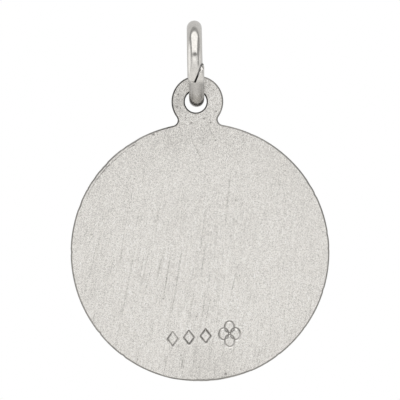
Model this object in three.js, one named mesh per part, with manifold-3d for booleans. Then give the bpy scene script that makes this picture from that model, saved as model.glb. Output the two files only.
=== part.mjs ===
// Round silver medal on its jump ring. Millimetres, +Z up.
// The medal's plain back faces -Y and its relief front faces +Y. The jump ring stands edge-on to both faces.
// The origin is the inside top of the jump ring, where a chain or bail bears.

import * as THREE from 'three';
import { mergeVertices } from 'three/addons/utils/BufferGeometryUtils.js';
import Module from 'manifold-3d';

const wasm = await Module();
wasm.setup();

// Jump ring: a round wire bent to a circle, pinched off and left open
const wireDiameter = 1.1;
const ringInnerDiameter = 4.15;
const ringCutDrop = 13.5; // degrees from the ring's front down to the middle of its cut
const ringCutLength = 1.02; // along the wire, from one blunt tip to the other
const ringCutKerf = 0.06;
const upperEndSpread = 0.03; // how far the upper end stands off to -X
const lowerEndSpread = 0.12; // how far the lower end stands off to +X
const ringSegments = 48;
const wireSides = 16;

// The cut crosses the wire in a slant between these two places, as shares of the wire's radius
const ringCutSlant = { low: -0.05, high: 0.82 };

// Medal blank: disc, neck and tab struck in one piece
const discDiameter = 19.0;
const medalThickness = 1.1;
const edgeBevel = 0.1;
const tabRise = 1.56; // tab centre above the disc's edge
const tabWall = 1.1; // metal left round the hole
const neckFillet = 0.4;

// Hole for the ring
const holeClearance = 0.5; // hole over wire, on the diameter
const holeOffset = 0.12; // the hole is punched this far off the tab's axis, to -X
const holeBevel = 0.06;
const hangClearance = 0.03; // left between the hole's edges and the wire that they hang on

// Front: a raised rim round a sunk field with a plain cross
const rimWidth = 0.8;
const rimSlope = 0.2;
const fieldDepth = 0.3;
const crossHeight = 11.0;
const crossWidth = 7.4;
const crossBarWidth = 1.5;
const crossBarDrop = 3.0; // top of the cross to the middle of its bar
const crossRelief = 0.24;
const crossBevel = 0.12;

// Back: a row of small punched marks near the bottom edge
const markRowRise = 3.34; // middle of the row above the disc's bottom edge
const markRowShift = 0.16; // middle of the row off the disc's upright axis, to +X
const markRowTilt = 4; // degrees, rising to +X
const markDepth = 0.07;
const markLine = 0.14; // width of a punched line
const rosettePetals = 4;
const marks = [
  { kind: 'lozenge', along: -2.28, width: 0.95, height: 1.25 },
  { kind: 'lozenge', along: -1.08, width: 0.95, height: 1.25 },
  { kind: 'lozenge', along: 0.15, width: 0.95, height: 1.25 },
  { kind: 'rosette', along: 1.91, width: 1.7, height: 2.0 },
];

// Round outlines are divided so that a chord strays no further than this from its arc
const chordError = 0.004;
const cutMargin = 0.5; // how far a cutting shape runs past what it cuts
const crossRoot = 0.1; // how deep the cross is rooted in the field

const wireRadius = wireDiameter / 2;
const ringInnerRadius = ringInnerDiameter / 2;
const ringRadius = ringInnerRadius + wireRadius;
const discRadius = discDiameter / 2;
const holeRadius = (wireDiameter + holeClearance) / 2;
const tabRadius = holeRadius + tabWall;
const tabHeight = discRadius + tabRise;
const halfThickness = medalThickness / 2;
const fieldRadius = discRadius - rimWidth - rimSlope;

// A closed geometry as a solid that can be cut and joined
function toSolid(geometry) {
  geometry.deleteAttribute('normal');
  geometry.deleteAttribute('uv');
  const merged = mergeVertices(geometry);
  const triangles = [];
  for (let i = 0; i < merged.index.count; i += 3) {
    const [a, b, c] = [merged.index.getX(i), merged.index.getX(i + 1), merged.index.getX(i + 2)];
    if (a !== b && b !== c && c !== a) {
      triangles.push(a, b, c);
    }
  }
  const vertProperties = new Float32Array(merged.attributes.position.array);
  const triVerts = new Uint32Array(triangles);
  return new wasm.Manifold(new wasm.Mesh({ numProp: 3, vertProperties, triVerts }));
}

function toGeometry(solid) {
  const mesh = solid.getMesh();
  const geometry = new THREE.BufferGeometry();
  geometry.setAttribute('position', new THREE.BufferAttribute(mesh.vertProperties, 3));
  geometry.setIndex(new THREE.BufferAttribute(mesh.triVerts, 1));
  return geometry;
}

// Points along an arc through its stops, the last one left out
function arc(centreX, centreY, radius, stops) {
  const points = [];
  const step = 2 * Math.acos(1 - chordError / radius);
  for (let i = 0; i + 1 < stops.length; i += 1) {
    const turn = stops[i + 1] - stops[i];
    const count = Math.ceil(Math.abs(turn) / step);
    for (let k = 0; k < count; k += 1) {
      const angle = stops[i] + turn * k / count;
      points.push(new THREE.Vector2(centreX + radius * Math.cos(angle), centreY + radius * Math.sin(angle)));
    }
  }
  return points;
}

// A straight prism over a flat shape, from one height to another
function prism(shape, low, high) {
  const geometry = new THREE.ExtrudeGeometry(shape, { depth: high - low, bevelEnabled: false });
  geometry.translate(0, 0, low);
  return toSolid(geometry);
}

// A prism whose edges are bevelled inwards, from one height to another
function bevelledPrism(shape, low, high, bevel) {
  const geometry = new THREE.ExtrudeGeometry(shape, {
    depth: high - low - 2 * bevel,
    bevelEnabled: true,
    bevelThickness: bevel,
    bevelSize: bevel,
    bevelOffset: -bevel,
    bevelSegments: 1,
  });
  geometry.translate(0, 0, low + bevel);
  return toSolid(geometry);
}

// A profile of [radius, height] pairs spun round the Z axis, rising from axis to axis
function spun(profile, x, y) {
  const widest = Math.max(...profile.map(([radius]) => radius));
  const sides = 4 * Math.ceil(Math.PI / (4 * Math.acos(1 - chordError / widest)));
  const points = profile.map(([radius, height]) => new THREE.Vector2(radius, height));
  const geometry = new THREE.LatheGeometry(points, sides);
  geometry.rotateX(Math.PI / 2);
  geometry.translate(x, y, 0);
  return toSolid(geometry);
}

// Outline of the blank, seen from the back: the disc's arc, a fillet, the tab's arc and the other fillet
function blankShape() {
  const discToFillet = discRadius + neckFillet;
  const tabToFillet = tabRadius + neckFillet;
  const filletY = (tabHeight ** 2 + discToFillet ** 2 - tabToFillet ** 2) / (2 * tabHeight);
  const filletX = Math.sqrt(discToFillet ** 2 - filletY ** 2);
  const discEnd = Math.atan2(filletY, filletX);
  const tabStart = Math.atan2(filletY - tabHeight, filletX);
  const { PI } = Math;
  return new THREE.Shape([
    ...arc(0, 0, discRadius, [PI - discEnd, PI, 1.5 * PI, 2 * PI, 2 * PI + discEnd]),
    ...arc(filletX, filletY, neckFillet, [discEnd + PI, tabStart + PI]),
    ...arc(0, tabHeight, tabRadius, [tabStart, PI / 2, PI - tabStart]),
    ...arc(-filletX, filletY, neckFillet, [-tabStart, -discEnd]),
  ]);
}

// The hole's bore, flared at both mouths by the bevel
function holeCutter() {
  const land = halfThickness - holeBevel;
  const flare = holeBevel + cutMargin;
  const profile = [
    [0, -land - flare],
    [holeRadius + flare, -land - flare],
    [holeRadius, -land],
    [holeRadius, land],
    [holeRadius + flare, land + flare],
    [0, land + flare],
  ];
  return spun(profile, -holeOffset, tabHeight);
}

// The front is on the low side of the blank's own frame
function fieldCutter() {
  const floor = fieldDepth - halfThickness;
  const depth = fieldDepth + cutMargin;
  const mouthRadius = fieldRadius + rimSlope * depth / fieldDepth;
  const profile = [
    [0, floor - depth],
    [mouthRadius, floor - depth],
    [fieldRadius, floor],
    [0, floor],
  ];
  return spun(profile, 0, 0);
}

// Seen from the front the cross stands upright, and it is the same from both sides
function cross() {
  const bar = crossBarWidth / 2;
  const armX = crossWidth / 2;
  const top = crossHeight / 2;
  const barY = top - crossBarDrop;
  const rightHalf = [
    [bar, -top],
    [bar, barY - bar],
    [armX, barY - bar],
    [armX, barY + bar],
    [bar, barY + bar],
    [bar, top],
  ];
  const leftHalf = rightHalf.map(([x, y]) => [-x, y]).reverse();
  const shape = new THREE.Shape([...rightHalf, ...leftHalf].map(([x, y]) => new THREE.Vector2(x, y)));
  const floor = fieldDepth - halfThickness;
  return bevelledPrism(shape, floor - crossRelief, floor + crossRoot + crossBevel, crossBevel);
}

// An outline with its middle left standing, given as a function of the distance inwards
function lineShape(outlineAt) {
  const shape = new THREE.Shape(outlineAt(0));
  shape.holes.push(new THREE.Path(outlineAt(markLine)));
  return shape;
}

function ellipsePoints(x, y, halfWidth, halfHeight) {
  const points = arc(0, 0, halfWidth, [0, 2 * Math.PI]);
  return points.map((point) => new THREE.Vector2(x + point.x, y + point.y * halfHeight / halfWidth));
}

// A lozenge whose four sides all lie the same distance inwards
function lozengePoints(halfWidth, halfHeight, inset) {
  const side = Math.hypot(halfWidth, halfHeight);
  const x = halfWidth - inset * side / halfHeight;
  const y = halfHeight - inset * side / halfWidth;
  return [[x, 0], [0, y], [-x, 0], [0, -y]].map((point) => new THREE.Vector2(...point));
}

// The shapes of one mark round its own middle: a lozenge, or petals that pass through each other
function markShapes({ kind, width, height }) {
  const halfWidth = width / 2;
  const halfHeight = height / 2;
  if (kind === 'lozenge') {
    return [lineShape((inset) => lozengePoints(halfWidth, halfHeight, inset))];
  }
  const shapes = [];
  for (let k = 0; k < rosettePetals; k += 1) {
    const angle = 2 * Math.PI * k / rosettePetals;
    const x = halfWidth / 2 * Math.cos(angle);
    const y = halfHeight / 2 * Math.sin(angle);
    shapes.push(lineShape((inset) => ellipsePoints(x, y, halfWidth / 2 - inset, halfHeight / 2 - inset)));
  }
  return shapes;
}

function punchMarks(blank) {
  const tilt = THREE.MathUtils.degToRad(markRowTilt);
  let punched = blank;
  for (const mark of marks) {
    for (const shape of markShapes(mark)) {
      const cutter = prism(shape, halfThickness - markDepth, halfThickness + cutMargin);
      const x = markRowShift + mark.along * Math.cos(tilt);
      const y = markRowRise - discRadius + mark.along * Math.sin(tilt);
      punched = punched.subtract(cutter.translate([x, y, 0]));
    }
  }
  return punched;
}

// Disc, neck and tab as one solid, flat in XY round the disc's centre with the plain back up
function medalSolid() {
  const blank = bevelledPrism(blankShape(), -halfThickness, halfThickness, edgeBevel);
  const struck = blank.subtract(fieldCutter()).add(cross());
  return punchMarks(struck.subtract(holeCutter()));
}

// The slanted cut's two turning points across the wire
const slantLow = ringCutSlant.low * wireRadius;
const slantHigh = ringCutSlant.high * wireRadius;

// Where the cut runs along the wire, for a place across it
function cutMiddle(x) {
  const share = THREE.MathUtils.clamp((x - slantLow) / (slantHigh - slantLow), 0, 1);
  return (share - 0.5) * ringCutLength;
}

// A thin stepped band across the wire: blunt at each side, slanted between
function ringCutter() {
  const reach = wireRadius + cutMargin;
  const kerf = ringCutKerf / 2;
  const slant = slantHigh - slantLow;
  const sideways = kerf * (Math.hypot(slant, ringCutLength) - slant) / ringCutLength;
  const edge = (side) => [
    new THREE.Vector2(-reach, side * kerf - ringCutLength / 2),
    new THREE.Vector2(slantLow - side * sideways, side * kerf - ringCutLength / 2),
    new THREE.Vector2(slantHigh - side * sideways, side * kerf + ringCutLength / 2),
    new THREE.Vector2(reach, side * kerf + ringCutLength / 2),
  ];
  return prism(new THREE.Shape([...edge(-1), ...edge(1).reverse()]), ringRadius - reach, ringRadius + reach);
}

// The ring closed by hand: each end is sprung sideways, less and less towards the back of the ring
function springEnds(geometry) {
  const position = geometry.attributes.position;
  for (let i = 0; i < position.count; i += 1) {
    const [x, y, z] = [position.getX(i), position.getY(i), position.getZ(i)];
    const isUpper = y > (z > 0 ? cutMiddle(x) : 0);
    const share = 1 - Math.abs(Math.atan2(y, z)) / Math.PI;
    position.setX(i, x + share * (isUpper ? -upperEndSpread : lowerEndSpread));
  }
}

// The ring in the YZ plane round its own centre, with its cut towards +Z and the wire running along Y there
function ringGeometry() {
  const torus = new THREE.TorusGeometry(ringRadius, wireRadius, wireSides, ringSegments);
  torus.rotateY(Math.PI / 2);
  torus.rotateX(-THREE.MathUtils.degToRad(ringCutDrop));
  const geometry = toGeometry(toSolid(torus).subtract(ringCutter()));
  springEnds(geometry);
  return geometry;
}

const satinSilver = new THREE.MeshStandardMaterial({ color: '#cfccc6', roughness: 0.45, metalness: 1 });
const polishedSilver = new THREE.MeshStandardMaterial({ color: '#dcdad6', roughness: 0.12, metalness: 1 });

function makeMedal() {
  const bearingRise = ringInnerRadius - Math.sqrt(ringInnerRadius ** 2 - (halfThickness - holeBevel) ** 2);
  const holeTop = bearingRise + hangClearance - ringInnerDiameter;
  const medal = new THREE.Mesh(toGeometry(medalSolid()), satinSilver);
  medal.name = 'medal';
  medal.rotation.x = Math.PI / 2;
  medal.position.set(holeOffset, 0, holeTop - holeRadius - tabHeight);
  return medal;
}

function makeJumpRing() {
  const ring = new THREE.Mesh(ringGeometry(), polishedSilver);
  ring.name = 'jump_ring';
  ring.rotation.x = Math.PI / 2 + THREE.MathUtils.degToRad(ringCutDrop);
  ring.position.set(0, 0, -ringInnerRadius);
  return ring;
}

const pendant = new THREE.Group();
pendant.name = 'medal_pendant';
pendant.add(makeJumpRing(), makeMedal());

export default pendant;
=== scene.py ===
# The look of a round satin silver medal hanging from its open jump ring, plain back to the camera.
# Shapes are worked out in millimetres, in the medal's or the ring's own frame, and placed in metres.
import math
import random

import bmesh
import bpy
import numpy as np
from mathutils import Matrix, Vector, kdtree, noise
from mathutils.geometry import delaunay_2d_cdt


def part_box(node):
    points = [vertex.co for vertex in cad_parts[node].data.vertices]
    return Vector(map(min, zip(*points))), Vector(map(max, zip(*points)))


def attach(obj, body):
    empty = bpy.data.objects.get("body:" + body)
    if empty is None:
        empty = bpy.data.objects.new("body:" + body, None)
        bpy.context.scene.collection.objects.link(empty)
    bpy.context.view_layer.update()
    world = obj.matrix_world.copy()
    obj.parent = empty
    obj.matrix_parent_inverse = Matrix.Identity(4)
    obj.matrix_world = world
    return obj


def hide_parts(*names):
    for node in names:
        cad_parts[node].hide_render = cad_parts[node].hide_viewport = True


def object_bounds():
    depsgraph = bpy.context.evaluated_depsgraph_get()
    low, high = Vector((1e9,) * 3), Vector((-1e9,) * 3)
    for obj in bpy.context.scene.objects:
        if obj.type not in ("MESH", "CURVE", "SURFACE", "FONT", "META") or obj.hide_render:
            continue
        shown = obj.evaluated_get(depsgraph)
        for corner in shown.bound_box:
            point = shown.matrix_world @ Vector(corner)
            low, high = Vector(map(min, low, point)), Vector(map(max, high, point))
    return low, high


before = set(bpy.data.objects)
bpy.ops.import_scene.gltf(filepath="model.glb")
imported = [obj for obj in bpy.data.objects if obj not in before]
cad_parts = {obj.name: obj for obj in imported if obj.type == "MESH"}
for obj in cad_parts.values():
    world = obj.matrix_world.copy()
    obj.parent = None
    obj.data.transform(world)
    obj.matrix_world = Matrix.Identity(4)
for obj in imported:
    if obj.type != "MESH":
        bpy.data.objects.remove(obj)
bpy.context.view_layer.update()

MM = 0.001

# Medal, in millimetres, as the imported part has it
medal_low, medal_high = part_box("medal")
DISC_RADIUS = (medal_high.x - medal_low.x) / 2 / MM
THICKNESS = (medal_high.y - medal_low.y) / MM
DISC_CENTRE = Vector((
    (medal_low.x + medal_high.x) / 2,
    (medal_low.y + medal_high.y) / 2,
    medal_low.z + DISC_RADIUS * MM,
))
TAB_RADIUS = 1.9
TAB_HEIGHT = (medal_high.z - DISC_CENTRE.z) / MM - TAB_RADIUS
NECK_FILLET = 0.4
HOLE_RADIUS = 0.8
HOLE_SHIFT = -0.12
BACK_EDGE_ROUND = 0.11
FRONT_EDGE_ROUND = 0.2
HOLE_EDGE_ROUND = 0.1
EDGE_STEPS = 5
EDGE_START = 0.2  # share of a step that the rounding's first loop lies away from the back's face
OUTER_WALL_SHADE = [0.6, 0.6, 0.6, 0.6, 0.5, 0.35] + [0.35] * EDGE_STEPS  # painted shade on the wall, back to front, that draws the dark line round the edge
# painted shade on the hole's wall, nearly black all through
HOLE_WALL_SHADE = [0.95] * (2 * EDGE_STEPS + 1)
TAB_EDGE_SHADE = 0.5  # how much heavier the painted shade on the edge is round the left of the tab
MEDAL_CREASE = 32  # degrees, the turn above which an edge stays sharp

# Front relief
RIM_WIDTH = 0.8
RIM_SLOPE = 0.2
FIELD_DEPTH = 0.3
CROSS_HEIGHT = 11.0
CROSS_WIDTH = 7.4
CROSS_BAR = 1.5
CROSS_BAR_DROP = 3.0
CROSS_RELIEF = 0.24
CROSS_BEVEL = 0.14
FIELD_RADIUS = DISC_RADIUS - RIM_WIDTH - RIM_SLOPE
FIELD_TARNISH = 0.2
CORNER_TARNISH = 0.4
RIM_SHADE_REACH = 0.5
CROSS_SHADE_REACH = 0.35
FRONT_SHADE_ROWS = (0.08, 0.18, 0.3, 0.44)

# Punched row on the back
MARK_ROW = Vector((0.16, 3.34 - DISC_RADIUS))
MARK_TILT = math.radians(4)
MARK_DEPTH = 0.07
MARK_LINE = 0.14
MARK_FLANK = 0.1
LIP_OFFSET = 0.12  # from a groove's middle line to the top of the burr beside it
LIP_REACH = 0.06
LIP_HEIGHT = 0.014
MARK_AREA = Vector((3.0, 1.25))  # half of the area round the row that is meshed finely
MARK_PROBE = np.array((0, 0.03))  # step up the back that tells a groove's upper wall from its lower one
MARK_TARNISH_AND_SHADE = (1.7, 0.95)  # how fast a groove's darkening rises with its depth, and its most: tarnish in the groove and painted shade on its upper wall
LOZENGE_SIZE = (0.95, 1.25)
LOZENGE_PLACES = (-2.28, -1.08, 0.15)
ROSETTE_SIZE = (1.7, 2.0)
ROSETTE_PLACE = 1.91
ROSETTE_PETALS = 4
PETAL_POINTS = 28
STRIKES = (0.9, 0.95, 1.05, 0.85)  # how hard each punch was struck

# Jump ring
ring_low, ring_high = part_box("jump_ring")
WIRE_RADIUS = 0.55
RING_RADIUS = (ring_high.z - ring_low.z) / 2 / MM - WIRE_RADIUS
RING_CENTRE = Vector((0, 0, (ring_low.z + ring_high.z) / 2))
CUT_DROP = math.radians(13)  # from the ring's foremost point down to the middle of the cut
CUT_LENGTH = 1.02
CUT_KERF = 0.11
CUT_SLANT = (-0.05 * WIRE_RADIUS, 0.82 * WIRE_RADIUS)  # across the wire, from the cut's foot to its head
UPPER_SPREAD = 0.03  # how far each end is sprung sideways
LOWER_SPREAD = 0.12
UPPER_TIP = [(0.0, 0.06), (0.01, 0.03), (0.05, 0.0)]  # along the wire, and how far the wire is thinned
LOWER_TIP = [(0.0, 0.12), (0.22, 0.0)]
LOWER_TIP_LEAST = 0.25  # share of that thinning away from the worn stretch right of the cut
LOWER_TIP_SLEW = 0.3  # how far the thinned tip moves to the left, as a share of its thinning
WORN_SIDE = (0.25, 0.75)  # sines round the wire between which that stretch sets in
WORN_FRONT = (0.0, 0.6)  # and cosines
LOWER_SINK = 0.07  # how far the lower end lies below the upper one, towards the ring's middle
SLOT_WIDTH = (0.12, 0.07)  # across the wire, at the cut's foot and at its head
SLOT_TILT = 0.3  # how far the cut shifts along the wire for each millimetre outwards
WIRE_SIDES = 48
WIRE_STEPS = 300
END_BLEND = 0.16  # share of the wire's length over which an end leaves the round of the ring
TIP_CLEARANCE = 1.3  # where the evenly spaced rows begin, in lengths of the lower tip
WIRE_CREASE = 25  # degrees, the turn above which an edge stays sharp

# Mesh spacing: between points, and the least gap that a filling keeps from points already there
OUTLINE_SPACING = 0.1
HOLE_SPACING = 0.055
CREASE_SPACING = 0.12
SHEET_FILL = (0.3, 0.16)
SHADE_ROW_FILL = (0.14, 0.05)
MARK_FILL = (0.033, 0.02)
PIT_FILL = (4, 7)  # for a pit these divide its radius
STROKE_STEP = 0.14
STROKE_ROWS = (-0.65, -0.3, 0, 0.3, 0.65)  # across a scratch, in widths
STROKE_GAP = 0.016

# Photograph and camera
PHOTO_SIDE = 400
PHOTO_SCALE = 13.62  # pixels to a millimetre
PHOTO_DISC = (200.0, 252.3)  # where the photograph has the disc's centre, in pixels
PHOTO_LEAN = math.radians(1.0)
CAMERA_DISTANCE = 0.45  # metres, as the clip is
CAMERA_CLIP = (0.01, 10)
SENSOR_WIDTH = 36.0  # millimetres


# Outlines

def arc(centre, radius, start, end, spacing, outward=1):
    """Points and outward normals along an arc, the last point left out."""
    count = max(2, math.ceil(abs(end - start) * radius / spacing))
    angles = start + (end - start) * np.arange(count) / count
    spokes = np.column_stack((np.cos(angles), np.sin(angles)))
    return np.array(centre) + radius * spokes, outward * spokes


def blank_outline(spacing):
    """The disc's arc, a neck fillet, the tab's arc and the other fillet, anticlockwise."""
    to_disc = DISC_RADIUS + NECK_FILLET
    to_tab = TAB_RADIUS + NECK_FILLET
    fillet_v = (TAB_HEIGHT ** 2 + to_disc ** 2 - to_tab ** 2) / (2 * TAB_HEIGHT)
    fillet_u = math.sqrt(to_disc ** 2 - fillet_v ** 2)
    disc_end = math.atan2(fillet_v, fillet_u)
    tab_start = math.atan2(fillet_v - TAB_HEIGHT, fillet_u)
    fine = spacing / 2
    parts = [
        arc((0, 0), DISC_RADIUS, math.pi - disc_end, 2 * math.pi + disc_end, spacing),
        arc((fillet_u, fillet_v), NECK_FILLET, disc_end + math.pi, tab_start + math.pi, fine, -1),
        arc((0, TAB_HEIGHT), TAB_RADIUS, tab_start, math.pi - tab_start, spacing),
        arc((-fillet_u, fillet_v), NECK_FILLET, -tab_start, -disc_end, fine, -1),
    ]
    return np.vstack([p for p, _ in parts]), np.vstack([n for _, n in parts])


def hole_outline(spacing):
    points, spokes = arc((HOLE_SHIFT, TAB_HEIGHT), HOLE_RADIUS, 0, 2 * math.pi, spacing)
    return points, -spokes


def cross_outline(inset):
    """The cross's corners, anticlockwise from its foot, all moved in by the inset."""
    bar = CROSS_BAR / 2 - inset
    arm = CROSS_WIDTH / 2 - inset
    top = CROSS_HEIGHT / 2 - inset
    bar_v = CROSS_HEIGHT / 2 - CROSS_BAR_DROP
    low, high = bar_v - bar, bar_v + bar
    right = [(bar, -top), (bar, low), (arm, low), (arm, high), (bar, high), (bar, top)]
    return right + [(-u, v) for u, v in reversed(right)]


def divided(corners, spacing):
    """A closed outline's corners with points added along its sides."""
    points = []
    for start, end in zip(corners, corners[1:] + corners[:1]):
        start, end = np.array(start), np.array(end)
        count = max(1, round(float(np.linalg.norm(end - start)) / spacing))
        points += [start + (end - start) * k / count for k in range(count)]
    return np.array(points)


def inside(points, outline):
    """Which points lie inside a closed outline."""
    found = np.zeros(len(points), bool)
    u, v = points[:, 0], points[:, 1]
    for (u0, v0), (u1, v1) in zip(outline, np.roll(outline, -1, 0)):
        if v0 != v1:
            crosses = ((v0 > v) != (v1 > v)) & (u < (u1 - u0) * (v - v0) / (v1 - v0) + u0)
            found ^= crosses
    return found


# Punched marks

def mark_lines():
    """The middle lines of each mark's punched grooves, as closed rows of points."""
    along = np.array((math.cos(MARK_TILT), math.sin(MARK_TILT)))
    row = np.array(MARK_ROW)
    half_line = MARK_LINE / 2
    marks = []
    for place in LOZENGE_PLACES:
        half_u, half_v = LOZENGE_SIZE[0] / 2, LOZENGE_SIZE[1] / 2
        side = math.hypot(half_u, half_v)
        u = half_u - half_line * side / half_v
        v = half_v - half_line * side / half_u
        marks.append([row + along * place + np.array([(u, 0), (0, v), (-u, 0), (0, -v)])])
    half_u, half_v = ROSETTE_SIZE[0] / 4, ROSETTE_SIZE[1] / 4
    turns = np.linspace(0, 2 * math.pi, PETAL_POINTS, endpoint=False)
    petal = np.column_stack((np.cos(turns), np.sin(turns))) * (half_u - half_line, half_v - half_line)
    angles = [2 * math.pi * k / ROSETTE_PETALS for k in range(ROSETTE_PETALS)]
    middles = [np.array((half_u * math.cos(a), half_v * math.sin(a))) for a in angles]
    marks.append([row + along * ROSETTE_PLACE + middle + petal for middle in middles])
    return marks


def along_segment(points, start, end):
    """Each point's distance from a straight line, and how far along it lies as a share."""
    start, step = np.array(start), np.array(end) - np.array(start)
    share = np.clip(((points - start) @ step) / (step @ step), 0, 1)
    return np.linalg.norm(points - start - share[:, None] * step, axis=1), share


def distance_to_lines(points, lines):
    nearest = np.full(len(points), 1e9)
    for line in lines:
        for start, end in zip(line, np.roll(line, -1, 0)):
            nearest = np.minimum(nearest, along_segment(points, start, end)[0])
    return nearest


def smooth(value, start, end):
    share = np.clip((value - start) / (end - start), 0, 1)
    return share * share * (3 - 2 * share)


def noise_at(points, per_mm, layer):
    """Smooth noise from -1 to 1 at each point, another pattern for each layer."""
    return np.array([noise.noise((u * per_mm[0], v * per_mm[1], layer)) for u, v in points])


# Wear and painted shade on the back, in millimetres from the disc's centre

WEAR_SEED = 5
BRUSH_LEAN = math.radians(13)
HAIR_LEAN = math.radians(9.5)
PIT_DEPTH = 0.03
PIT_TARNISH = 0.5
PITS = [
    # across, up, radius
    (2.69, 3.78, 0.09), (2.69, 2.2, 0.06), (6.36, 5.87, 0.06), (5.92, 4.85, 0.05), (6.65, 2.9, 0.06),
    (8.27, 3.78, 0.06), (-4.73, 5.47, 0.07), (-3.04, 5.18, 0.05), (1.29, 8.19, 0.07), (0.41, 8.33, 0.05),
    (-5.1, 3.34, 0.05), (-7.96, 1.43, 0.07), (3.5, 0.81, 0.06), (3.27, 1.5, 0.06), (2.98, 0.62, 0.05),
    (3.86, 1.28, 0.04), (2.94, 0.11, 0.05), (4.0, 0.4, 0.05), (-2.75, -3.34, 0.08), (-0.32, -4.7, 0.06),
    (-0.25, -8.41, 0.06), (-1.53, -7.53, 0.08), (-4.07, -6.64, 0.05), (-4.7, -7.8, 0.05), (2.83, -8.6, 0.05),
    (1.73, -8.95, 0.16), (-3.26, 8.7, 0.15), (-0.47, 9.51, 0.1), (0.48, 9.8, 0.12), (-1.4, 11.6, 0.08),
    (-1.5, 10.7, 0.09), (1.35, 10.3, 0.08), (1.2, 11.9, 0.06), (-0.9, 9.9, 0.07), (0.95, 9.5, 0.07),
]
SCRATCHES = [
    # from across and up, to across and up, strength
    (-4.73, 0.48, -5.83, -4.66, 1.0), (-5.54, 1.43, -6.01, -1.43, 0.8), (-6.42, 1.73, -6.86, 0.18, 0.8),
    (-2.6, 0.48, -3.11, -1.73, 0.8), (-1.35, -0.04, -2.16, -4.44, 1.1), (-2.38, -1.36, -2.75, -3.41, 0.9),
    (0.48, 3.19, -0.03, -0.18, 0.9), (0.45, 0.62, 0.04, -1.58, 1.0), (1.26, 1.43, 1.0, -0.48, 0.7),
    (2.39, 6.1, 1.88, 2.05, 0.9), (-4.14, -0.26, -4.43, -1.73, 0.6), (0.7, -1.5, 0.48, -2.97, 0.8),
    (-0.47, -2.68, -0.84, -4.74, 0.7), (0.3, -2.97, 0.12, -4.59, 0.7), (-7.22, 1.58, -7.52, 0.33, 0.6),
    (-3.85, -1.87, -4.36, -3.78, 0.6), (-2.09, 2.9, -2.45, 1.36, 0.6), (-0.32, 7.97, 0.19, 6.86, 1.0),
    (-0.54, 8.92, -0.4, 8.04, 0.9), (0.78, 9.29, 1.07, 8.55, 1.0), (-2.09, 8.4, -1.86, 7.75, 0.7),
    (-1.64, 7.45, -1.5, 6.72, 0.6), (-1.42, -7.89, -1.5, -8.41, 2.0), (-2.67, -7.2, -2.75, -9.0, 0.7),
    (-0.54, -7.3, -0.62, -8.2, 0.6), (6.15, -4.3, 6.08, -6.8, 0.5), (4.67, -6.7, 4.6, -7.8, 0.7),
    (-3.5, -4.7, -3.63, -6.1, 0.6), (1.0, -8.0, 0.9, -9.1, 0.6), (-0.1, -8.2, -0.16, -9.1, 0.6),
]
SCRATCH_WIDTH = 0.065
SCRATCH_DEPTH = 0.013
SCRATCH_TARNISH = 0.32
HAIRLINES = 110
HAIRLINE_ACROSS = (-8.5, 6.5)
HAIRLINE_UP = (-8.0, 3.0)
HAIRLINE_LENGTHS = (0.6, 2.4)
HAIRLINE_STRENGTHS = (0.15, 0.45)
HAIRLINE_LEANS = 0.05  # spread of their leans, in radians
HAIRLINE_MARGIN = 0.4
UPRIGHT_FROM = -8.0  # up the back, where the hairlines stand nearly upright
UPRIGHT_REACH = 5  # over how far above that they come to their full lean
# soft darker patches: painted shade, heaviest on the tab's left beside the ring
SHADE_PATCHES = [
    # across, up, radius, strength
    (-1.4, 11.2, 1.3, 0.16), (-2.0, 8.3, 1.6, 0.06), (0.0, 9.3, 2.5, 0.03), (0.3, -8.8, 3.5, 0.085),
    (6.0, 6.0, 2.6, 0.03), (-8.0, -2.5, 2.0, 0.02), (1.0, -4.0, 1.8, 0.012), (-4.5, 6.5, 1.8, 0.02),
    (-1.65, 10.6, 1.0, 0.1),
]
# the back darker towards the rim all round
RIM_DARKENING = 0.025
RIM_DARKENING_REACH = (3.5, 0.2)  # from the disc's edge in to where the darkening begins and is whole
SCRAPE_ARC = (120, 152)  # degrees round the disc
SCRAPE_INSET = 0.26
SCRAPE_STRENGTHS = (1.0, 3.0)
SCRAPE_STEPS = (1.5, 4)  # degrees
SCRAPE_WANDER = 0.03
SCRAPE_ADVANCE = (0.9, 1.4)  # from one stroke's start to the next one's, in lengths of the stroke
BACK_WAVES = 0.006


def off_rim(u, v):
    return math.hypot(u, v) < DISC_RADIUS - HAIRLINE_MARGIN


def hairlines(draw):
    """Fine scratches along the brushing, left out where they would reach the rim."""
    lines = []
    for _ in range(HAIRLINES):
        u = draw.uniform(*HAIRLINE_ACROSS)
        v = draw.uniform(*HAIRLINE_UP)
        length = draw.uniform(*HAIRLINE_LENGTHS)
        lean = BRUSH_LEAN + draw.gauss(0, HAIRLINE_LEANS)
        lean *= np.clip((v - UPRIGHT_FROM) / UPRIGHT_REACH, 0.25, 1)
        end = (u + length * math.sin(lean), v + length * math.cos(lean))
        if off_rim(u, v) and off_rim(*end):
            lines.append(((u, v), end, draw.uniform(*HAIRLINE_STRENGTHS)))
    return lines


def rim_scrape(draw):
    """The broken scrape just inside the rim at the upper left."""
    lines = []
    angle, last = SCRAPE_ARC
    while angle < last:
        step = draw.uniform(*SCRAPE_STEPS)
        radius = DISC_RADIUS - SCRAPE_INSET + draw.uniform(-SCRAPE_WANDER, SCRAPE_WANDER)
        turns = [math.radians(a) for a in (angle, angle + step)]
        start, end = [(radius * math.cos(turn), radius * math.sin(turn)) for turn in turns]
        lines.append((start, end, draw.uniform(*SCRAPE_STRENGTHS)))
        angle += step * draw.uniform(*SCRAPE_ADVANCE)
    return lines


def wear_lines():
    """The listed scratches, hairlines and the scrape inside the rim: start, end and strength."""
    draw = random.Random(WEAR_SEED)
    placed = [((a, b), (c, d), strength) for a, b, c, d, strength in SCRATCHES]
    return placed + hairlines(draw) + rim_scrape(draw)


def groove_at(points, lines):
    return np.clip(1 - distance_to_lines(points, lines) / MARK_FLANK, 0, 1)


def lip_at(points, lines):
    """The low burr that a punch pushes up along both sides of its groove."""
    return np.clip(1 - abs(distance_to_lines(points, lines) - LIP_OFFSET) / LIP_REACH, 0, 1)


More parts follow.
